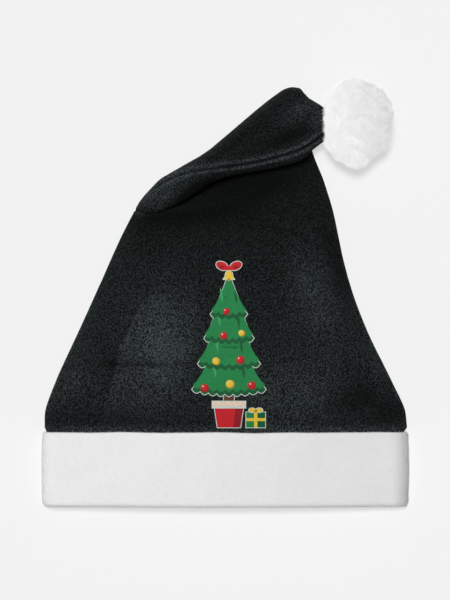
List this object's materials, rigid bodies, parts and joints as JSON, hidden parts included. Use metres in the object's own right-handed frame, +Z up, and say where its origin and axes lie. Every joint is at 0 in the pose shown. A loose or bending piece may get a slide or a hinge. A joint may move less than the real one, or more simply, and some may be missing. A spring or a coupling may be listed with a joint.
{
  "type": "santa hat",
  "caption": "Soft cone-shaped fleece santa hat lying flat on its back, with a folded plush cuff and a plush pompom on its folded-over tip.",
  "frame": {"origin": "on the floor under the middle of the whole lying hat", "axes": "+Z up through the hat's front, +Y from the cuff towards the folded tip, +X towards the side the pompom is on"},
  "size_m": [0.29, 0.3374, 0.0548],
  "materials": {
    "crown_fleece": "short-napped fleece, near black",
    "cuff_plush": "short dense plush, white",
    "pompom_plush": "long-piled fluffy plush, white"
  },
  "bodies": {
    "root": {"crown": "crown_fleece", "cuff": "cuff_plush", "pompom": "pompom_plush"}
  },
  "joints": []
}
